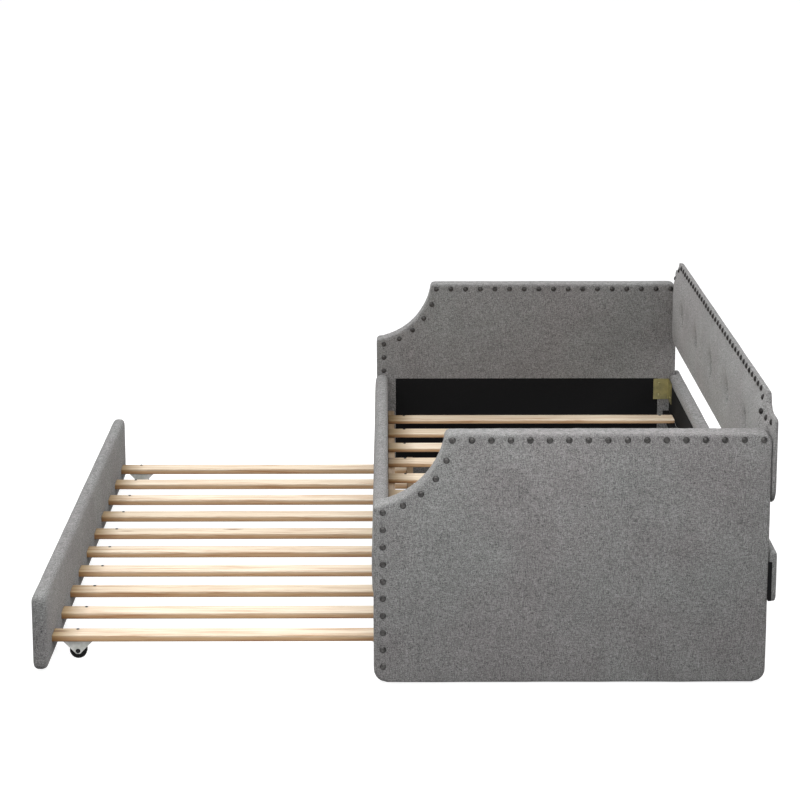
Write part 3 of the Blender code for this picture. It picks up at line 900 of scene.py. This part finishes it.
def staple(place, along, out):
    """Wire crown of an upholstery staple."""
    along = Vector(along)
    out = Vector(out)
    across = along.cross(out)
    shape = bmesh.new()
    bmesh.ops.create_cube(shape, size=1.0)
    for vertex in shape.verts:
        a, b, c = vertex.co
        flat = 0.7 if c > 0 else 1.0
        vertex.co = Vector(place) + along * (a * 0.011 * flat) + across * (b * 0.0012) + out * (c * 0.0009)
    bmesh.ops.bevel(shape, geom=shape.edges[:], offset=0.0002, segments=1, affect="EDGES")
    return shape


def make_staples():
    """Staples round the linings' edges."""
    for side_name, side in (("left", -1), ("right", 1)):
        low, high = span(side_name + "_arm_lining")
        face = high.x if side < 0 else low.x
        shapes = []
        for y in np.arange(low.y + 0.03, high.y - 0.02, STAPLE_PITCH):
            shapes.append(staple((face, y, high.z - 0.006), (0, 1, 0), (-side, 0, 0)))
            shapes.append(staple((face, y, low.z + 0.006), (0, 1, 0), (-side, 0, 0)))
        for z in np.arange(low.z + 0.04, high.z - 0.03, STAPLE_PITCH):
            shapes.append(staple((face, low.y + 0.006, z), (0, 0, 1), (-side, 0, 0)))
            shapes.append(staple((face, high.y - 0.006, z), (0, 0, 1), (-side, 0, 0)))
        piece = gathered(side_name + "_lining_staples", shapes, SCREW)
        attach(piece, "daybed")


# ---------------------------------------------------------------- linings
def make_lining(node, axis, out):
    """Dust cover pulled over a board: a thin sheet that swells between the staples round its edges."""
    low, high = span(node)
    face = high[axis] if out > 0 else low[axis]
    along = 1 - axis
    columns = round((high[along] - low[along]) / LINING_CELL)
    rows = round((high.z - low.z) / LINING_CELL)
    across = np.linspace(low[along], high[along], columns + 1)
    up = np.linspace(low.z, high.z, rows + 1)
    grid_across, grid_up = [values.ravel() for values in np.meshgrid(across, up, indexing="ij")]
    points = np.zeros((len(grid_across), 3))
    points[:, axis] = face
    points[:, along] = grid_across
    points[:, 2] = grid_up
    edge = np.minimum(grid_across - low[along], high[along] - grid_across)
    edge = np.minimum(edge, np.minimum(grid_up - low.z, high.z - grid_up))
    swell = gentle_waves(points, 0.0010) * smoothstep(edge / 0.06)
    ripple = np.sin((grid_across + grid_up) * math.pi / STAPLE_PITCH) ** 2
    swell += 0.0005 * ripple * np.exp(-edge / 0.012)
    sheet = bmesh.new()
    layers = []
    for depth in (0, LINING_THICKNESS):
        shifted = points.copy()
        shifted[:, axis] += out * (swell - depth)
        layers.append([sheet.verts.new(point) for point in shifted])
    for layer in layers:
        for column in range(columns):
            for row in range(rows):
                first = column * (rows + 1) + row
                sheet.faces.new([layer[first + step] for step in (0, rows + 1, rows + 2, 1)])
    border = list(range(rows))
    border += [column * (rows + 1) + rows for column in range(columns)]
    border += [columns * (rows + 1) + row for row in range(rows, 0, -1)]
    border += [column * (rows + 1) for column in range(columns, 0, -1)]
    for first, second in zip(border, border[1:] + border[:1]):
        sheet.faces.new((layers[0][first], layers[0][second], layers[1][second], layers[1][first]))
    bmesh.ops.recalc_face_normals(sheet, faces=sheet.faces)
    piece = finished(node + "_sheet", sheet, LINING)
    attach(piece, "daybed")
    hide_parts(node)


def make_linings():
    make_lining("left_arm_lining", 0, 1)
    make_lining("right_arm_lining", 0, -1)
    make_lining("back_rail_lining", 1, -1)


# ---------------------------------------------------------------- carried-over nodes
def give(node, material):
    """Puts a finish on a CAD node that stays in view."""
    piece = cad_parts[node]
    piece.data.materials.clear()
    piece.data.materials.append(material)


def finish_nodes():
    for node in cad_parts:
        if node.endswith("arm_board"):
            give(node, PLYWOOD)
        elif node == "back_slat_ledger":
            give(node, LINING)
        elif node == "front_slat_ledger" or node == "trundle_rear_rail":
            # darker pine copy: painted shade
            give(node, PINE_RAIL_SHADED)
        elif "_slat_" in node:
            give(node, PINE)
        elif "corner_bracket" in node:
            give(node, ZINC)
        elif "caster_bracket" in node:
            give(node, STEEL)
        elif node.endswith("axle") or node.endswith("glide"):
            give(node, BLACK)
        elif node.endswith("wheel"):
            give(node, TYRE)


# ---------------------------------------------------------------- camera, light and floor
def make_camera():
    data = bpy.data.cameras.new("camera")
    data.sensor_width = 36.0
    data.lens = CAMERA_LENS_MM
    data.shift_y = CAMERA_SHIFT_Y
    camera = bpy.data.objects.new("camera", data)
    bpy.context.scene.collection.objects.link(camera)
    camera.location = CAMERA_PLACE
    camera.rotation_euler = (math.pi / 2 - CAMERA_PITCH, 0, math.pi / 2 - CAMERA_YAW)
    bpy.context.scene.camera = camera


def area_light(name, place, target, size, power):
    data = bpy.data.lights.new(name, "AREA")
    data.shape = "RECTANGLE"
    data.size, data.size_y = size
    data.energy = power
    light = bpy.data.objects.new(name, data)
    bpy.context.scene.collection.objects.link(light)
    light.location = place
    light.visible_camera = False
    light.rotation_euler = (Vector(target) - Vector(place)).to_track_quat("-Z", "Y").to_euler()


def make_stage():
    """Pale floor under a soft sky that is brighter above than below, with a large overhead light."""
    world = bpy.data.worlds.new("studio")
    world.use_nodes = True
    nodes = world.node_tree.nodes
    links = world.node_tree.links
    split = nodes.new("ShaderNodeSeparateXYZ")
    links.new(nodes.new("ShaderNodeTexCoord").outputs["Generated"], split.inputs["Vector"])
    height = nodes.new("ShaderNodeMapRange")
    height.inputs["From Min"].default_value = -0.25
    height.inputs["From Max"].default_value = 0.35
    height.inputs["To Min"].default_value = SKY_BELOW
    height.inputs["To Max"].default_value = SKY_ABOVE
    links.new(split.outputs["Z"], height.inputs["Value"])
    links.new(height.outputs["Result"], nodes["Background"].inputs["Strength"])
    nodes["Background"].inputs["Color"].default_value = (1, 1, 1, 1)
    bpy.context.scene.world = world
    bpy.context.scene.view_settings.view_transform = "Standard"

    shape = bmesh.new()
    bmesh.ops.create_grid(shape, x_segments=8, y_segments=8, size=30)
    floor = finished("studio_floor", shape, floor_material())
    floor.location.z = -0.0005
    floor.visible_diffuse = False

    area_light("overhead", (-0.8, -1.3, 4.4), (-0.2, 0.2, 0), (4.2, 4.2), 115)
    area_light("right", (2.3, -0.1, 1.7), (1.0, -0.1, 0.4), (2.6, 0.9), 43)
    area_light("left", (-2.5, -0.1, 1.7), (-1.0, -0.1, 0.4), (2.6, 0.9), 22)
    area_light("front", (0, -3.4, 1.7), (0, -1.0, 0.2), (2.6, 0.9), 26)
    area_light("back", (0, 3.0, 1.7), (0, 1.0, 0.5), (2.6, 0.9), 28)


def floor_material():
    tree = Tree("pale_floor", (0.34, 0.34, 0.34), 0.9)
    tree.shader.inputs["Emission Color"].default_value = (1, 1, 1, 1)
    tree.shader.inputs["Emission Strength"].default_value = 0.86
    tree.shader.inputs["Specular IOR Level"].default_value = 0.1
    return tree.material


# ---------------------------------------------------------------- build
make_camera()
make_stage()
make_arms()
make_back_panel()
make_front_rail()
make_back_rail()
make_trundle_panel()
make_slat_screws()
make_bracket_screws()
make_staples()
make_linings()
finish_nodes()
